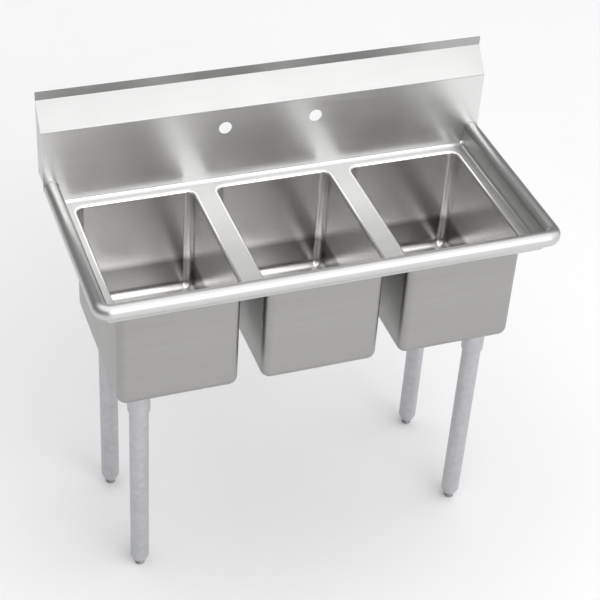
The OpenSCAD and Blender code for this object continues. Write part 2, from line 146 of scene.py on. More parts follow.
class Surface:
    """The visible side of a sheet, gathered patch by patch: points, normals, and grain
    coordinates that run along (u) and across (v) the brushing."""

    def __init__(self):
        self.points, self.normals, self.grain, self.faces = [], [], [], []

    def patch(self, points, normals, grain, faces):
        start = len(self.points)
        self.points.extend(points)
        self.normals.extend(normals)
        self.grain.extend(grain)
        self.faces.extend([start + i for i in face] for face in faces)

    def sheet(self, name, material, nodes, hidden=None):
        """Closes the sheet: the hidden side one thickness behind, and a strip on each edge.
        The hidden side and the edges may have a material of their own."""
        points = np.array(self.points, float)
        normals = np.array(self.normals, float)
        grain = np.array(self.grain, float)
        keys = np.round(points, 6)
        _, first, same = np.unique(keys, axis=0, return_index=True, return_inverse=True)
        same = same.ravel()
        base, base_normals = waviness(points[first], normals[first])
        top, uv_of = [], []
        for face in self.faces:
            ring = [i for i, j in zip(face, face[1:] + face[:1]) if same[i] != same[j]]
            if len(ring) < 3:
                continue
            a, b, c = (base[same[i]] for i in ring[:3])
            d = base[same[ring[-1]]]
            facing = np.cross(b - a, d - a) + np.cross(c - b, a - b)
            if facing @ base_normals[same[ring[0]]] < 0:
                ring = ring[::-1]
            top.append([int(same[i]) for i in ring])
            uv_of.append(ring)
        used = sorted({i for face in top for i in face})
        place = {old: new for new, old in enumerate(used)}
        count = len(used)
        front = base[used]
        facing = base_normals[used]
        back = front - SHEET * facing
        back[:, 1] = np.minimum(back[:, 1], WALL_Y)
        grain_at = {}
        faces, loops, uvs = [], [], []
        edges = {}
        for face, ring in zip(top, uv_of):
            ids = [place[i] for i in face]
            faces.append(ids)
            loops.extend(facing[i] for i in ids)
            uvs.extend(grain[i] for i in ring)
            grain_at.update(zip(ids, (grain[i] for i in ring)))
            for i, j in zip(ids, ids[1:] + ids[:1]):
                edges[(i, j)] = True
        for face, ring in zip(top, uv_of):
            ids = [place[i] + count for i in face][::-1]
            faces.append(ids)
            loops.extend(-facing[i - count] for i in ids)
            uvs.extend(grain[i] for i in ring[::-1])
        for i, j in edges:
            if (j, i) in edges:
                continue
            flat = np.cross(front[i] - front[j], back[i] - front[i])
            flat /= max(np.linalg.norm(flat), 1e-12)
            faces.append([j, i, i + count, j + count])
            loops.extend([flat] * 4)
            uvs.extend(grain_at[k] for k in (j, i, i, j))
        mesh = smooth_mesh(name, np.vstack([front, back]).tolist(), faces, uvs)
        mesh.normals_split_custom_set([tuple(n) for n in loops])
        mesh.update()
        finish_piece(name, mesh, material, nodes)
        if hidden:
            mesh.materials.append(hidden)
            for face in mesh.polygons[len(top):]:
                face.material_index = 1


def section(*parts):
    """A section as rows (across, up, normal across, normal up, length so far). A part is
    ("arc", centre, radius, start, stop, side), with side 1 where the visible side is the
    outside of the bend, or ("line", start, stop, normal). Angles are in degrees."""
    arc_step, line_step = 7.5, 0.02
    rows = []
    for part in parts:
        if part[0] == "arc":
            _, centre, radius, start, stop, side = part
            steps = max(4, int(abs(stop - start) / arc_step))
            for angle in np.radians(np.linspace(start, stop, steps + 1)):
                c, s = math.cos(angle), math.sin(angle)
                rows.append((centre[0] + radius * c, centre[1] + radius * s, side * c, side * s))
        else:
            _, start, stop, normal = part
            steps = max(1, int(math.dist(start, stop) / line_step))
            for share in np.linspace(0, 1, steps + 1):
                rows.append((start[0] + share * (stop[0] - start[0]),
                             start[1] + share * (stop[1] - start[1]), *normal))
    kept, length = [], 0
    for row in rows:
        if kept and math.dist(row[:2], kept[-1][:2]) < TINY:
            continue
        length += math.dist(row[:2], kept[-1][:2]) if kept else 0
        kept.append((*row, length))
    return kept


def grid_faces(rows, columns, keep=None):
    """Faces between rows of points. keep says of row i, column j whether its face stays."""
    faces = []
    for i in range(rows - 1):
        for j in range(columns - 1):
            if keep is None or keep(i, j):
                k = i * columns + j
                faces.append([k, k + 1, k + columns + 1, k + columns])
    return faces


def sweep(surface, stations, rows, closed=False):
    """Carries a section along stations (origin x, origin y, outward x, outward y, length)."""
    if closed:
        stations = stations + [(*stations[0][:4], stations[-1][4] + 0.01)]
    points, normals, grain = [], [], []
    for across, up, n_across, n_up, length in rows:
        for x, y, dx, dy, along in stations:
            points.append((x + across * dx, y + across * dy, up))
            normals.append((n_across * dx, n_across * dy, n_up))
            grain.append((along, length))
    surface.patch(points, normals, grain, grid_faces(len(rows), len(stations)))


def arc_stations(x, y, start, stop, steps, radius, along=0.0):
    """Stations that turn about one point. The length is measured at the radius."""
    made = []
    for i in range(steps + 1):
        angle = math.radians(start + (stop - start) * i / steps)
        made.append((x, y, math.cos(angle), math.sin(angle),
                     along + abs(math.radians(stop - start)) * radius * i / steps))
    return made


def run_stations(start, stop, outward, steps, along=0.0):
    """Stations along a straight run."""
    length = math.dist(start, stop)
    return [(start[0] + (stop[0] - start[0]) * i / steps,
             start[1] + (stop[1] - start[1]) * i / steps, *outward,
             along + length * i / steps) for i in range(steps + 1)]


# ---- Materials -----------------------------------------------------------------------

SUM_OF_THREE = (0.9, 2.1)     # the usual low and high of three noises added together


class Nodes:
    """Short calls for the nodes of a material or of the world."""

    def __init__(self, owner):
        owner.use_nodes = True
        self.tree = owner.node_tree
        self.coordinates = self.tree.nodes.new("ShaderNodeTexCoord")

    def node(self, kind, inputs=None, **settings):
        made = self.tree.nodes.new(kind)
        for key, value in settings.items():
            setattr(made, key, value)
        for key, value in (inputs or {}).items():
            if isinstance(value, bpy.types.NodeSocket):
                self.tree.links.new(value, made.inputs[key])
            else:
                made.inputs[key].default_value = value
        return made

    def combine(self, first, second, operation="ADD"):
        return self.node("ShaderNodeMath", {0: first, 1: second}, operation=operation).outputs[0]

    def spread(self, value, low, high, to_low, to_high, **settings):
        """The value, mapped from low..high to to_low..to_high and held to them."""
        return self.node("ShaderNodeMapRange",
                         {"Value": value, "From Min": low, "From Max": high,
                          "To Min": to_low, "To Max": to_high}, **settings).outputs["Result"]


class Paint(Nodes):
    """One procedural material."""

    def __init__(self, name):
        self.material = bpy.data.materials.new(name)
        super().__init__(self.material)
        self.shader = self.tree.nodes["Principled BSDF"]

    def noise(self, source, stretch, detail=3.0, roughness=0.55, distortion=0.0):
        place = self.node("ShaderNodeMapping",
                          {"Vector": self.coordinates.outputs[source], "Scale": stretch})
        return self.node("ShaderNodeTexNoise",
                         {"Vector": place.outputs[0], "Scale": 1.0, "Detail": detail,
                          "Roughness": roughness, "Distortion": distortion}).outputs["Fac"]

    def blend(self, factor, first, second):
        """A colour between the first (factor 0) and the second (factor 1)."""
        made = self.node("ShaderNodeMix", data_type="RGBA")
        self.tree.links.new(factor, made.inputs[0])
        for i, colour in ((6, first), (7, second)):
            if isinstance(colour, bpy.types.NodeSocket):
                self.tree.links.new(colour, made.inputs[i])
            else:
                made.inputs[i].default_value = (*colour, 1)
        return made.outputs[2]

    def bump(self, height, distance, strength):
        made = self.node("ShaderNodeBump",
                         {"Height": height, "Distance": distance, "Strength": strength})
        self.tree.links.new(made.outputs[0], self.shader.inputs["Normal"])

    def set(self, **values):
        """Sets or links inputs of the shader, named in lower case."""
        for key, value in values.items():
            name = key.replace("_", " ").title().replace("Ior", "IOR")
            if isinstance(value, bpy.types.NodeSocket):
                self.tree.links.new(value, self.shader.inputs[name])
            else:
                self.shader.inputs[name].default_value = value


def brushed_stainless(name, dark, light, smooth, rough, stretch=0.6, painted_dark_band=None):
    """Directional satin finish. The grain runs along u of the mesh's grain coordinates.

    painted_dark_band is a pair of heights between which the colour is darkened as painted shade,
    the blur of its ends, and the share of the colour left in it.
    """
    paint = Paint(name)
    scratches = paint.noise("UV", (22.0, 2600.0, 1.0), 2.0)
    streaks = paint.noise("UV", (3.5, 260.0, 1.0), 4.0)
    bands = paint.noise("UV", (1.3, 26.0, 1.0), 2.0)
    smears = paint.noise("Object", (9.0, 9.0, 9.0), 3.0, 0.6, 0.6)
    grain = paint.combine(paint.combine(scratches, streaks), bands)
    colour = paint.blend(paint.spread(grain, *SUM_OF_THREE, 0.0, 1.0), dark, light)
    # Painted shade: between the two heights the colour turns darker, in place of darker
    # reflections.
    if painted_dark_band:
        low, high, blur, share = painted_dark_band
        middle, half = (low + high) / 2, (high - low) / 2
        place = paint.node("ShaderNodeSeparateXYZ", {0: paint.coordinates.outputs["Object"]})
        above = paint.combine(place.outputs["Z"], middle, "SUBTRACT")
        away = paint.combine(above, 0.0, "ABSOLUTE")
        unpainted_share = paint.spread(away, half - blur, half + blur, 0.0, 1.0)
        colour = paint.blend(unpainted_share, [share * c for c in dark], colour)
    paint.set(base_color=colour, metallic=1.0, anisotropic=stretch, anisotropic_rotation=0.25)
    smear = 0.3 * (rough - smooth)
    worn = paint.combine(paint.spread(streaks, 0.3, 0.7, smooth, rough),
                     paint.spread(smears, 0.35, 0.7, -smear, smear))
    paint.set(roughness=worn)
    tangent = paint.node("ShaderNodeTangent", direction_type="UV_MAP", uv_map="grain")
    paint.tree.links.new(tangent.outputs[0], paint.shader.inputs["Tangent"])
    paint.bump(scratches, 0.00002, 0.1)
    return paint.material


def galvanised():
    """Zinc coated steel: soft crystal patches over a fine drawn texture."""
    crystals_per_metre = 95.0
    paint = Paint("galvanised_steel")
    patches = paint.node("ShaderNodeTexVoronoi",
                         {"Vector": paint.coordinates.outputs["Object"],
                          "Scale": crystals_per_metre,
                          "Randomness": 1.0}, feature="SMOOTH_F1")
    cells = paint.node("ShaderNodeSeparateColor",
                       {"Color": patches.outputs["Color"]}).outputs[0]
    drawn = paint.noise("Object", (700.0, 700.0, 9.0), 3.0)
    cloud = paint.noise("Object", (14.0, 14.0, 5.0), 3.0)
    tone = paint.combine(paint.combine(cells, drawn), cloud)
    paint.set(base_color=paint.blend(paint.spread(tone, *SUM_OF_THREE, 0.0, 1.0),
                                     (0.47, 0.472, 0.495), (0.57, 0.572, 0.595)),
              metallic=0.82, roughness=paint.spread(cells, 0.0, 1.0, 0.36, 0.50))
    paint.bump(paint.combine(drawn, cells), 0.00008, 0.3)
    return paint.material


def plated(name, dark, light, smooth, rough):
    """Bright or dark plating with polishing marks and a little wear."""
    paint = Paint(name)
    marks = paint.noise("Object", (60.0, 60.0, 900.0), 2.0)
    smears = paint.noise("Object", (38.0, 38.0, 38.0), 4.0, 0.6, 0.8)
    paint.set(base_color=paint.blend(paint.spread(smears, 0.3, 0.7, 0.0, 1.0), dark, light),
              metallic=1.0, roughness=paint.combine(paint.spread(smears, 0.35, 0.7, smooth, rough),
                                                paint.spread(marks, 0.3, 0.7, 0.0, 0.03)))
    paint.bump(marks, 0.00003, 0.4)
    return paint.material


def rubber():
    """Matt and black, with pores and a little dust."""
    paint = Paint("black_rubber")
    pores = paint.noise("Object", (900.0, 900.0, 900.0), 4.0)
    dust = paint.noise("Object", (45.0, 45.0, 45.0), 4.0, 0.65)
    paint.set(base_color=paint.blend(paint.spread(dust, 0.4, 0.75, 0.0, 1.0),
                                     (0.018, 0.018, 0.019), (0.05, 0.05, 0.052)),
              roughness=paint.spread(pores, 0.3, 0.7, 0.55, 0.75))
    paint.bump(pores, 0.0001, 0.4)
    return paint.material


def fibre_washer():
    """Pressed brown fibre."""
    paint = Paint("fibre")
    threads = paint.noise("Object", (420.0, 1500.0, 420.0), 5.0, 0.7, 1.2)
    stain = paint.noise("Object", (30.0, 30.0, 30.0), 3.0)
    mix = paint.combine(threads, stain)
    paint.set(base_color=paint.blend(paint.spread(mix, 0.7, 1.3, 0.0, 1.0),
                                     (0.36, 0.27, 0.17), (0.60, 0.50, 0.36)),
              roughness=paint.spread(threads, 0.3, 0.7, 0.75, 0.95))
    paint.bump(threads, 0.00015, 0.5)
    return paint.material


# Painted shade: darker bands stand in for the darker reflections of the steel, one low on the
# bowls' walls, and one from the foot of the backsplash's slope upward.
BOWL_PAINTED_SHADE = (0.532, 0.60, 0.008, 0.36)
SPLASH_PAINTED_SHADE = (SLOPE_FOOT, 2.0, 0.001, 0.61)

STEEL_TOP = brushed_stainless("stainless_top", (0.57, 0.57, 0.565), (0.63, 0.63, 0.625),
                              0.32, 0.38)
# Painted light: the backsplash is given a lighter colour than the same steel of the rims and deck.
STEEL_SPLASH_LIT = brushed_stainless("stainless_splash_painted_light", (0.70, 0.70, 0.695), (0.77, 0.77, 0.765),
                                 0.30, 0.36, 0.6, SPLASH_PAINTED_SHADE)
STEEL_DECK = brushed_stainless("stainless_deck", (0.56, 0.56, 0.555), (0.62, 0.62, 0.615),
                               0.42, 0.48)
# Painted light: the inside of the bowls is given a much lighter colour than the same steel
# outside.
STEEL_BOWL_INSIDE_LIT = brushed_stainless("stainless_bowl_painted_light", (0.85, 0.84, 0.83), (0.88, 0.87, 0.86),
                               0.25, 0.258, 0.4, BOWL_PAINTED_SHADE)
# Painted shade: the outside and the edges of the bowls are given a much darker colour than their
# inside.
STEEL_BOWL_OUTSIDE_SHADED = brushed_stainless("stainless_bowl_outside_painted_shade", (0.35, 0.345, 0.34), (0.41, 0.405, 0.40),
                               0.34, 0.42, 0.4)
STEEL_CAD = plated("stainless_plain", (0.50, 0.50, 0.495), (0.60, 0.60, 0.595), 0.26, 0.34)
ZINC = galvanised()
DARK = plated("dark_plated_steel", (0.26, 0.26, 0.265), (0.40, 0.40, 0.405), 0.34, 0.5)
CHROME = plated("plated_fittings", (0.62, 0.62, 0.63), (0.74, 0.74, 0.75), 0.16, 0.26)
RUBBER = rubber()
FIBRE = fibre_washer()


# ---- Sheet metal top -----------------------------------------------------------------

def rim_rows():
    """Cove, web and roll, from the end of the deck outward."""
    return section(
        ("arc", (0, DECK_Z + RIM_COVE), RIM_COVE, -90, 0, -1),
        ("line", (RIM_COVE, DECK_Z + RIM_COVE), (RIM_COVE, ROLL_Z), (-1, 0)),
        ("arc", (RIM_COVE + ROLL, ROLL_Z), ROLL, 180, 180 - ROLL_SWEEP, 1),
    )


def make_weld(name, side):
    """Polished bead where a side roll meets the backsplash, from the web over the top."""
    bead, ripple = 0.0017, 0.00018        # radius of the bead, and how much it varies
    reach = ROLL + 0.0001
    bead_y = FACE_Y - 0.0003
    start, sweep_angle = 176, 150         # degrees round the roll
    rings, sides = 90, 10
    verts, faces = [], []
    for i in range(rings + 1):
        angle = math.radians(start - sweep_angle * i / rings)
        thick = bead * (0.35 + 0.65 * math.sin(math.pi * i / rings) ** 0.4)
        thick += ripple * math.sin(i * 2.1)
        for k in range(sides):
            turn = 2 * math.pi * k / sides
            out = reach + thick * math.cos(turn)
            x = RIM_X + RIM_COVE + ROLL + out * math.cos(angle)
            verts.append((side * min(x, HALF_W), bead_y + thick * math.sin(turn),
                          ROLL_Z + out * math.sin(angle)))
    for i in range(rings):
        for k in range(sides):
            n = (k + 1) % sides
            quad = [i * sides + k, (i + 1) * sides + k, (i + 1) * sides + n, i * sides + n]
            faces.append(quad[::-1] if side > 0 else quad)
    ends = [list(range(sides)), [rings * sides + k for k in range(sides)][::-1]]
    faces += ends if side < 0 else [end[::-1] for end in ends]
    mesh = smooth_mesh(f"{name}_rim_weld", verts, faces)
    mesh.update()
    finish_piece(mesh.name, mesh, STEEL_CAD, [])


def make_rims():
    """The front rim with its two rounded corners, and the side rims with their welds."""
    rows = rim_rows()
    corner_r, corner_steps, front_steps, side_steps = RIM_COVE + ROLL, 18, 60, 30
    corner_run = math.pi / 2 * corner_r
    front = Surface()
    path = arc_stations(-RIM_X, RIM_Y, 180, 270, corner_steps, corner_r)
    path += run_stations((-RIM_X, RIM_Y), (RIM_X, RIM_Y), (0, -1), front_steps, corner_run)[1:]
    path += arc_stations(RIM_X, RIM_Y, 270, 360, corner_steps, corner_r,
                         corner_run + 2 * RIM_X)[1:]
    sweep(front, path, rows)
    front.sheet("front_rim_sheet", STEEL_TOP, ["front_rim"])
    for name, side in (("left", -1), ("right", 1)):
        rim = Surface()
        sweep(rim, run_stations((side * RIM_X, RIM_Y), (side * RIM_X, FACE_Y), (side, 0),
                                side_steps), rows)
        rim.sheet(f"{name}_rim_sheet", STEEL_TOP, [f"{name}_rim"])
        make_weld(name, side)


def bowl_axes(name):
    """Middle of a bowl and the distances from it to the axes of its corners."""
    low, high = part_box(f"{name}_bowl")
    return ((low.x + high.x) / 2, (high.x - low.x) / 2 - BOWL_REACH,
            (high.y - low.y) / 2 - BOWL_REACH)


def bowl_loop(name):
    """Stations round a bowl, starting at the front end of its right side."""
    x, ax, ay = bowl_axes(name)
    side_steps, end_steps, corner_steps = 18, 14, 12
    path, along = [], 0.0
    sides = [((ax, -ay), (ax, ay), 0, side_steps), ((ax, ay), (-ax, ay), 90, end_steps),
             ((-ax, ay), (-ax, -ay), 180, side_steps), ((-ax, -ay), (ax, -ay), 270, end_steps)]
    for start, stop, angle, steps in sides:
        out = (round(math.cos(math.radians(angle))), round(math.sin(math.radians(angle))))
        run = run_stations((x + start[0], start[1]), (x + stop[0], stop[1]), out, steps, along)
        along = run[-1][4]
        bend = arc_stations(x + stop[0], stop[1], angle, angle + 90, corner_steps,
                            BOWL_CORNER, along)
        along = bend[-1][4]
        path += run[:-1] + bend[:-1]
    return path


def make_bowl(name):
    """Wall, floor and stamped seat of a bowl. The grain of the floor runs along X, and that
    of the seat round the drain."""
    low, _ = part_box(f"{name}_bowl")
    floor_z = low.z + SHEET + SEAT_DEPTH
    x = bowl_axes(name)[0]
    wall = section(
        ("arc", (BOWL_REACH, DECK_Z - BOWL_LIP), BOWL_LIP, 90, 180, 1),
        ("line", (BOWL_CORNER, DECK_Z - BOWL_LIP), (BOWL_CORNER, floor_z + BOWL_CORNER), (-1, 0)),
        ("arc", (0, floor_z + BOWL_CORNER), BOWL_CORNER, 0, -90, -1),
    )
    bowl = Surface()
    loop = bowl_loop(name)
    sweep(bowl, loop, wall, closed=True)

    edge = []
    for px, py, *_ in loop:
        if not edge or math.dist(edge[-1], (px, py)) > TINY:
            edge.append((px, py))
    rings = 8
    points, grain = [], []
    for ring in range(rings + 1):
        share = ring / rings
        for px, py in edge + edge[:1]:
            reach = math.hypot(px - x, py)
            cx, cy = x + SEAT_RING * (px - x) / reach, SEAT_RING * py / reach
            points.append((px + share * (cx - px), py + share * (cy - py), floor_z))
            grain.append((points[-1][0], points[-1][1]))
    bowl.patch(points, [(0, 0, 1)] * len(points), grain,
               grid_faces(rings + 1, len(edge) + 1))

    seat_z = floor_z - SEAT_DEPTH
    step_x = SEAT_RING - SEAT_STEP
    seat = section(
        ("arc", (SEAT_RING, floor_z - SEAT_BEND), SEAT_BEND, 90, 135, 1),
        ("arc", (step_x, seat_z + SEAT_BEND), SEAT_BEND, -45, -90, -1),
        ("line", (step_x, seat_z), (DRAIN_HOLE, seat_z), (0, 1)),
    )
    spokes = []
    for px, py in edge:
        reach = math.hypot(px - x, py)
        spokes.append((x, 0.0, (px - x) / reach, py / reach,
                       math.atan2(py, px - x) * SEAT_RING))
    sweep(bowl, spokes, seat, closed=True)
    bowl.sheet(f"{name}_bowl_sheet", STEEL_BOWL_INSIDE_LIT, [f"{name}_bowl"], STEEL_BOWL_OUTSIDE_SHADED)


def make_deck():
    """Flat sheet in one cell round each opening. Neighbouring cells share their edge."""
    deck = Surface()
    middles = [bowl_axes(name)[0] for name in BOWLS]
    borders = [-RIM_X, (middles[0] + middles[1]) / 2, (middles[1] + middles[2]) / 2, RIM_X]
    rings = 4
    for index, name in enumerate(BOWLS):
        x, ax, ay = bowl_axes(name)
        low_x, high_x = borders[index], borders[index + 1]
        inner, outer = [], []
        for px, py, dx, dy, _ in bowl_loop(name):
            inner.append((px + BOWL_REACH * dx, py + BOWL_REACH * dy))
            side_x = high_x if dx > TINY or (abs(dx) <= TINY and px > x) else low_x
            side_y = LEDGE_Y if dy > TINY or (abs(dy) <= TINY and py > 0) else RIM_Y
            if abs(dy) < TINY:
                outer.append((side_x, py))
            elif abs(dx) < TINY:
                outer.append((px, side_y))
            else:
                turn = math.degrees(math.atan2(abs(dy), abs(dx))) / 45
                corner_y = math.copysign(ay, dy)
                corner_x = x + math.copysign(ax, dx)
                if turn <= 1:
                    outer.append((side_x, corner_y + (side_y - corner_y) * turn))
                else:
                    outer.append((corner_x + (side_x - corner_x) * (2 - turn), side_y))
        points = []
        for ring in range(rings + 1):
            share = ring / rings
            for a, b in zip(inner + inner[:1], outer + outer[:1]):
                points.append((a[0] + share * (b[0] - a[0]), a[1] + share * (b[1] - a[1]), DECK_Z))
        deck.patch(points, [(0, 0, 1)] * len(points), [p[:2] for p in points],
                   grid_faces(rings + 1, len(inner) + 1))
    deck.sheet("deck_sheet", STEEL_DECK, ["deck"])


def splash_rows():
    """Cove, face, bend, slope, bend and upright lip, as (y, z), and the head of the slope."""
    slope = math.radians(SPLASH_SLOPE)
    run = (WALL_Y - FACE_Y - SHEET
           - (SPLASH_BEND + SPLASH_LIP_BEND) * (1 - math.cos(slope))) / math.sin(slope)
    foot = (FACE_Y + SPLASH_BEND * (1 - math.cos(slope)),
            SLOPE_FOOT + SPLASH_BEND * math.sin(slope))
    head = (foot[0] + run * math.sin(slope), foot[1] + run * math.cos(slope))
    lip = (head[0] - SPLASH_LIP_BEND * math.cos(slope),
           head[1] + SPLASH_LIP_BEND * math.sin(slope))
    cell = 2 * HOLE_CELL / HOLE_STEPS
    turns = [ROLL_Z - ROLL * math.cos(math.radians(angle)) for angle in np.linspace(0, 90, 13)]
    rows = section(
        ("arc", (LEDGE_Y, COVE_TOP), SPLASH_COVE, -90, 0, -1),
        ("line", (FACE_Y, COVE_TOP), (FACE_Y, turns[0]), (-1, 0)),
        *[("line", (FACE_Y, a), (FACE_Y, b), (-1, 0)) for a, b in zip(turns, turns[1:])],
        ("line", (FACE_Y, ROLL_Z), (FACE_Y, HOLE_Z - HOLE_CELL), (-1, 0)),
        *[("line", (FACE_Y, HOLE_Z - HOLE_CELL + k * cell),
           (FACE_Y, HOLE_Z - HOLE_CELL + (k + 1) * cell), (-1, 0)) for k in range(HOLE_STEPS)],
        ("line", (FACE_Y, HOLE_Z + HOLE_CELL), (FACE_Y, SLOPE_FOOT), (-1, 0)),
        ("arc", (FACE_Y + SPLASH_BEND, SLOPE_FOOT), SPLASH_BEND, 180, 180 - SPLASH_SLOPE, 1),
        ("line", foot, head, (-math.cos(slope), math.sin(slope))),
        ("arc", lip, SPLASH_LIP_BEND, -SPLASH_SLOPE, 0, -1),
        ("line", (WALL_Y - SHEET, lip[1]), (WALL_Y - SHEET, splash_high.z), (-1, 0)),
    )
    return rows, head


def make_backsplash():
    """Rows of the section by lines across. The lower corners follow the side rims: left out
    beside the cove and the web, and drawn in to the roll's curve. Round each faucet hole the
    square cell is drawn out to a circle."""
    rows, _ = splash_rows()
    widest_step = 0.018
    web_x = RIM_X + RIM_COVE + SHEET
    roll_foot = ROLL_Z - ROLL
    roll_x = HALF_W - ROLL
    holes = (-FAUCET_SPACING / 2, FAUCET_SPACING / 2)
    stops = [-HALF_W, -roll_x, -web_x, -RIM_X]
    for hole_x in holes:
        stops += [hole_x - HOLE_CELL + 2 * HOLE_CELL * k / HOLE_STEPS
                  for k in range(HOLE_STEPS + 1)]
    stops += [RIM_X, web_x, roll_x, HALF_W]
    lines = [stops[0]]
    for stop in stops[1:]:
        steps = max(1, math.ceil((stop - lines[-1]) / widest_step))
        start = lines[-1]
        lines += [start + (stop - start) * (i + 1) / steps for i in range(steps)]

    def in_hole(x, z):
        return any(max(abs(x - h), abs(z - HOLE_Z)) < HOLE_CELL / 2 - TINY for h in holes)

    points, normals, grain = [], [], []
    for y, z, ny, nz, length in rows:
        for x in lines:
            px, pz = x, z
            if abs(x) > roll_x and roll_foot - TINY <= z < ROLL_Z:
                drop = (ROLL_Z - z) / ROLL
                reach = math.sqrt(max(0.0, 1 - drop * drop))
                px = math.copysign(roll_x + (abs(x) - roll_x) * reach, x)
            for h in holes:
                far = max(abs(x - h), abs(z - HOLE_Z)) / HOLE_CELL
                if 0.5 - TINY <= far < 1 and abs(ny + 1) < TINY and y < FACE_Y + TINY:
                    share = (far - 0.5) / 0.5
                    qx, qz = (x - h) / (far * HOLE_CELL), (z - HOLE_Z) / (far * HOLE_CELL)
                    spoke = math.hypot(qx, qz)
                    px = h + (1 - share) * FAUCET_HOLE * qx / spoke + share * HOLE_CELL * qx
                    pz = HOLE_Z + (1 - share) * FAUCET_HOLE * qz / spoke + share * HOLE_CELL * qz
            points.append((px, y, pz))
            normals.append((0, ny, nz))
            grain.append((px, length))

    def keep(i, j):
        z = (rows[i][1] + rows[i + 1][1]) / 2
        x = (lines[j] + lines[j + 1]) / 2
        if z < COVE_TOP:
            return abs(x) < RIM_X
        if z < roll_foot:
            return abs(x) < web_x
        return not (rows[i][0] < FACE_Y + TINY and in_hole(x, z))

    splash = Surface()
    splash.patch(points, normals, grain, grid_faces(len(rows), len(lines), keep=keep))
    splash.sheet("backsplash_sheet", STEEL_SPLASH_LIT, ["backsplash"])


def make_end_caps():
    """Plates that close the ends of the hollow behind the backsplash."""
    rows, head = splash_rows()
    for name, side in (("left", -1), ("right", 1)):
        low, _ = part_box(f"splash_end_cap_{name}")
        inner = [(y - SHEET * ny, z - SHEET * nz) for y, z, ny, nz, _ in rows
                 if SLOPE_FOOT - TINY < z <= head[1] + TINY]
        outline = [(FACE_Y + SHEET, low.z)] + inner
        outline += [(WALL_Y, inner[-1][1]), (WALL_Y, low.z)]
        x = side * HALF_W
        cap = Surface()
        cap.patch([(x, y, z) for y, z in outline], [(side, 0, 0)] * len(outline),
                  [(y, z) for y, z in outline], [list(range(len(outline)))])
        cap.sheet(f"splash_end_cap_{name}_plate", STEEL_TOP, [f"splash_end_cap_{name}"])


make_deck()
make_rims()
make_backsplash()
make_end_caps()
for bowl_name in BOWLS:
    make_bowl(bowl_name)


# ---- Turned parts --------------------------------------------------------------------

SHARP_ANGLE = 38              # degrees, from which an edge shows as an edge
TUBE_WALL = 0.0015
TUBE_GAP = 0.00015            # between a leg and its socket
STUD_R = 0.006
STUD_GAP = 0.00005            # between the stud and its insert
THREAD_PITCH = 0.00175
THREAD_DEPTH = 0.0008
TIP_R = 0.013                 # foot of the tapered insert
CHAMFER = 0.0012


def soften(profile, radius, closed):
    """Rounds the corners of a profile, each by at most a third of its shorter side."""
    made = []
    count = len(profile)
    for i, point in enumerate(profile):
        if not closed and i in (0, count - 1):
            made.append(point)
            continue
        before, after = Vector(profile[i - 1]), Vector(profile[(i + 1) % count])
        here = Vector(point)
        cut = min(radius, (before - here).length / 3, (after - here).length / 3)
        start = here + (before - here).normalized() * cut
        stop = here + (after - here).normalized() * cut
        for t in (0, 0.25, 0.5, 0.75, 1):
            made.append(tuple(start * (1 - t) ** 2 + here * 2 * t * (1 - t) + stop * t * t))
    return made


def turned(name, node, profile, material, body="sink", radius=0.0004, segments=96):
    """A part turned about the upright axis through the middle of a CAD node's box. A profile
    that starts and ends on the axis is solid; any other is closed on itself."""
    low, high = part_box(node)
    cx, cy = (low.x + high.x) / 2, (low.y + high.y) / 2
    solid = profile[0][0] == 0
    outline = soften(profile, radius, not solid)
    verts, faces, rings, uvs = [], [], [], []
    for r, z in outline:
        if r <= 1e-9:
            rings.append([len(verts)])
            verts.append((cx, cy, z))
            continue
        rings.append(list(range(len(verts), len(verts) + segments)))
        for k in range(segments):
            angle = 2 * math.pi * k / segments
            verts.append((cx + r * math.cos(angle), cy + r * math.sin(angle), z))
    pairs = list(zip(rings, rings[1:])) if solid else list(zip(rings, rings[1:] + rings[:1]))
    lengths = [0.0]
    for a, b in zip(outline, outline[1:] + outline[:1]):
        lengths.append(lengths[-1] + math.dist(a, b))
    for index, (a, b) in enumerate(pairs):
        for k in range(segments):
            n = (k + 1) % segments
            if len(a) == 1:
                faces.append([a[0], b[n], b[k]])
                uvs += [(k, index), (n, index + 1), (k, index + 1)]
            elif len(b) == 1:
                faces.append([a[k], a[n], b[0]])
                uvs += [(k, index), (n, index), (k, index + 1)]
            else:
                faces.append([a[k], a[n], b[n], b[k]])
                uvs += [(k, index), (k + 1, index), (k + 1, index + 1), (k, index + 1)]
    arc = 2 * math.pi * (high.x - low.x) / 2 / segments
    mesh = smooth_mesh(name, verts, faces, [(k * arc, lengths[i]) for k, i in uvs])
    mesh.set_sharp_from_angle(angle=math.radians(SHARP_ANGLE))
    mesh.update()
    finish_piece(name, mesh, material, [node], body)


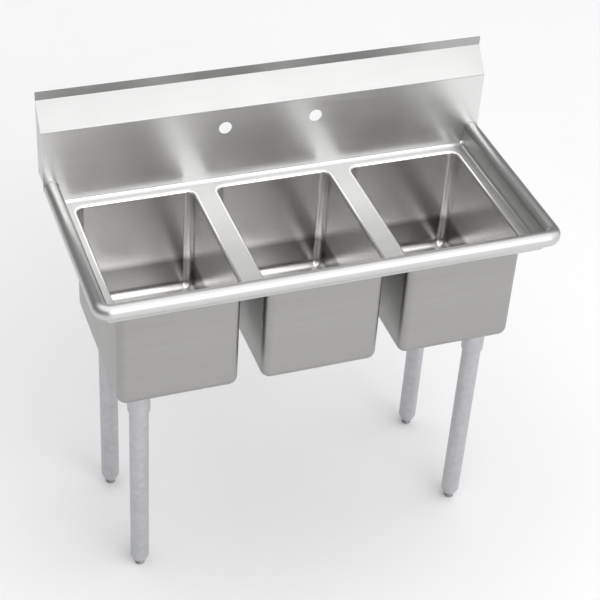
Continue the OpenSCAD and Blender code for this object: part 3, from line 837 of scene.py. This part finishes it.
def make_leg(end, side):
    """Socket, leg tube and tapered insert, and the foot with its threaded stud."""
    corner = f"{side}_{end}"
    low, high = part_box(f"socket_{corner}")
    leg_low, leg_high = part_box(f"leg_{corner}")
    tip_low, tip_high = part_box(f"insert_{corner}")
    foot_low, foot_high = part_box(f"foot_{corner}")
    leg_r = (leg_high.x - leg_low.x) / 2
    socket_r = (high.x - low.x) / 2
    turned(f"socket_{corner}_tube", f"socket_{corner}", [
        (leg_r + TUBE_GAP, low.z), (socket_r - CHAMFER, low.z), (socket_r, low.z + 0.0025),
        (socket_r, high.z), (leg_r + TUBE_GAP, high.z)], ZINC,
        radius=CHAMFER)
    turned(f"leg_{corner}_tube", f"leg_{corner}", [
        (leg_r - TUBE_WALL, leg_low.z), (leg_r, leg_low.z), (leg_r, leg_high.z),
        (leg_r - TUBE_WALL, leg_high.z)], ZINC)
    bore = STUD_R + STUD_GAP
    turned(f"insert_{corner}_nose", f"insert_{corner}", [
        (bore, tip_low.z), (TIP_R, tip_low.z), (TIP_R + 0.0035, tip_low.z + 0.006),
        (leg_r - 0.0008, leg_low.z - 0.003), (leg_r, leg_low.z - 0.002), (leg_r, leg_low.z),
        (leg_r - TUBE_WALL, leg_low.z), (leg_r - TUBE_WALL, tip_high.z), (bore, tip_high.z)],
        ZINC, radius=0.0015)
    foot_r = (foot_high.x - foot_low.x) / 2
    foot_top = tip_low.z
    profile = [(0, foot_low.z), (foot_r - 0.0015, foot_low.z), (foot_r, foot_low.z + 0.0015),
               (foot_r, foot_top - 0.007), (foot_r - CHAMFER, foot_top - 0.0055),
               (foot_r - CHAMFER, foot_top - 0.0045), (foot_r, foot_top - 0.003),
               (foot_r, foot_top - CHAMFER), (foot_r - CHAMFER, foot_top), (STUD_R, foot_top)]
    z = foot_top + THREAD_PITCH / 2
    while z + THREAD_PITCH < foot_high.z - 0.001:
        profile += [(STUD_R - THREAD_DEPTH, z), (STUD_R, z + THREAD_PITCH / 2)]
        z += THREAD_PITCH
    profile += [(STUD_R - 0.001, foot_high.z), (0, foot_high.z)]
    turned(f"foot_{corner}_stud", f"foot_{corner}", profile, DARK,
           body=f"adjuster_{corner}", radius=0.0003, segments=64)


for leg_end, leg_side in CORNERS:
    make_leg(leg_end, leg_side)


# ---- Finishes of the CAD nodes that stay ----------------------------------------------

FINISHES = {"stainless_sheet": STEEL_CAD, "galvanised_steel": ZINC, "dark_plated_steel": DARK,
            "plated_fittings": CHROME, "black_rubber": RUBBER, "fibre": FIBRE}
SLOT_OF = {"gusset": "galvanised_steel", "socket_set_screws": "dark_plated_steel",
           "drain_gasket": "black_rubber", "stopper": "black_rubber",
           "friction_ring": "fibre", "drain_body": "plated_fittings",
           "locknut": "plated_fittings", "tailpiece": "plated_fittings",
           "coupling_nut": "plated_fittings", "basket": "plated_fittings"}
for node_name, node_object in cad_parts.items():
    if node_object.hide_render:
        continue
    finish = next(FINISHES[slot] for start, slot in SLOT_OF.items()
                  if node_name.startswith(start))
    for material_slot in node_object.material_slots:
        material_slot.material = finish


# ---- Floor, light and camera -----------------------------------------------------------

FLOOR_DROP = 0.0002               # floor under the lowest point of the feet
SKY_HORIZON = 0.95                # brightness of the sky, level and from SKY_RISE up
SKY_TOP = 1.5
SKY_RISE = 0.8
WALL_LIGHT = 0.25                 # brightness of the walls behind and to the left
BACK_WALL_EDGE = (0.05, 0.45)     # y of the direction over which the back wall fades in
LEFT_WALL_EDGE = (-0.15, -0.38)   # x of the direction, for the left wall
WALL_HEIGHT = (0.66, 0.86)        # z of the direction over which both fade out
LAMP_SPOT = (1.0, -4.2, 3.9)
LAMP_SIZE = (4.2, 2.0)
LAMP_LIGHT = 2.3                  # brightness of its face
CAMERA_SPOT = (-1.0188, -2.5719, 2.7369)
CAMERA_ANGLES = (-21.886, 38.007, 4.0944)     # azimuth, elevation and roll, in degrees
CAMERA_LENS = 97.17               # millimetres


def make_floor():
    """A plain pale floor, the only piece that belongs to the stage."""
    half, steps = 8.0, 4
    verts = [(-half + 2 * half * i / steps, -half + 2 * half * j / steps, 0)
             for i in range(steps + 1) for j in range(steps + 1)]
    mesh = bpy.data.meshes.new("floor")
    mesh.from_pydata(verts, [], grid_faces(steps + 1, steps + 1))
    floor = bpy.data.objects.new("floor", mesh)
    floor.location.z = cad_low.z - FLOOR_DROP
    bpy.context.scene.collection.objects.link(floor)
    paint = Paint("pale_floor")
    mottle = paint.noise("Object", (3.0, 3.0, 3.0), 3.0)
    paint.set(base_color=paint.blend(mottle, (0.90, 0.90, 0.90), (0.93, 0.93, 0.93)),
              roughness=0.8)
    mesh.materials.append(paint.material)


def make_sky():
    """A pale studio, brighter above. The steel reflects darker walls behind and to the left,
    which the camera itself doesn't see."""
    world = bpy.data.worlds.new("studio")
    bpy.context.scene.world = world
    sky = Nodes(world)

    def ease(value, low, high, to_low, to_high):
        return sky.spread(value, low, high, to_low, to_high, interpolation_type="SMOOTHSTEP")

    direction = sky.node("ShaderNodeSeparateXYZ", {0: sky.coordinates.outputs["Generated"]})
    x, y, z = direction.outputs
    light = ease(z, 0.0, SKY_RISE, SKY_HORIZON, SKY_TOP)
    behind = ease(y, *BACK_WALL_EDGE, 0.0, 1.0)
    left = ease(x, *LEFT_WALL_EDGE, 0.0, 1.0)
    low = ease(z, *WALL_HEIGHT, 1.0, 0.0)
    wall = sky.combine(sky.combine(behind, left, "MAXIMUM"), low, "MULTIPLY")
    seen = sky.node("ShaderNodeLightPath").outputs["Is Camera Ray"]
    share = sky.combine(wall, sky.combine(1.0, seen, "SUBTRACT"), "MULTIPLY")
    made = sky.node("ShaderNodeMix", {0: share, 2: light, 3: WALL_LIGHT})
    background = sky.tree.nodes["Background"]
    background.inputs["Color"].default_value = (1, 1, 1, 1)
    sky.tree.links.new(made.outputs[0], background.inputs["Strength"])


def softbox(name, spot, target, size, brightness):
    """A rectangular lamp that faces its target and that the camera doesn't see."""
    light = bpy.data.lights.new(name, "AREA")
    light.shape = "RECTANGLE"
    light.size, light.size_y = size
    light.energy = brightness * math.pi * size[0] * size[1]
    lamp = bpy.data.objects.new(name, light)
    lamp.location = spot
    lamp.rotation_euler = (Vector(target) - Vector(spot)).to_track_quat("-Z", "Y").to_euler()
    lamp.visible_camera = False
    bpy.context.scene.collection.objects.link(lamp)


def make_camera():
    """The photograph's viewpoint: 22 degrees to the left of the front, 38 degrees up."""
    spot = Vector(CAMERA_SPOT)
    azimuth, elevation, roll = (math.radians(a) for a in CAMERA_ANGLES)
    back = Vector((math.sin(azimuth) * math.cos(elevation),
                   -math.cos(azimuth) * math.cos(elevation), math.sin(elevation)))
    right = Vector((0, 0, 1)).cross(back).normalized()
    turned_right = Matrix.Rotation(roll, 3, back) @ right
    up = back.cross(turned_right)
    data = bpy.data.cameras.new("camera")
    data.lens = CAMERA_LENS
    data.sensor_width = 36
    data.clip_end = 60
    camera = bpy.data.objects.new("camera", data)
    turn = Matrix((turned_right, up, back)).transposed().to_4x4()
    camera.matrix_world = Matrix.Translation(spot) @ turn
    bpy.context.scene.collection.objects.link(camera)
    bpy.context.scene.camera = camera


make_floor()
make_sky()
middle = (cad_low + cad_high) / 2
softbox("front_softbox", LAMP_SPOT, middle, LAMP_SIZE, LAMP_LIGHT)
make_camera()
bpy.context.scene.view_settings.view_transform = "Standard"
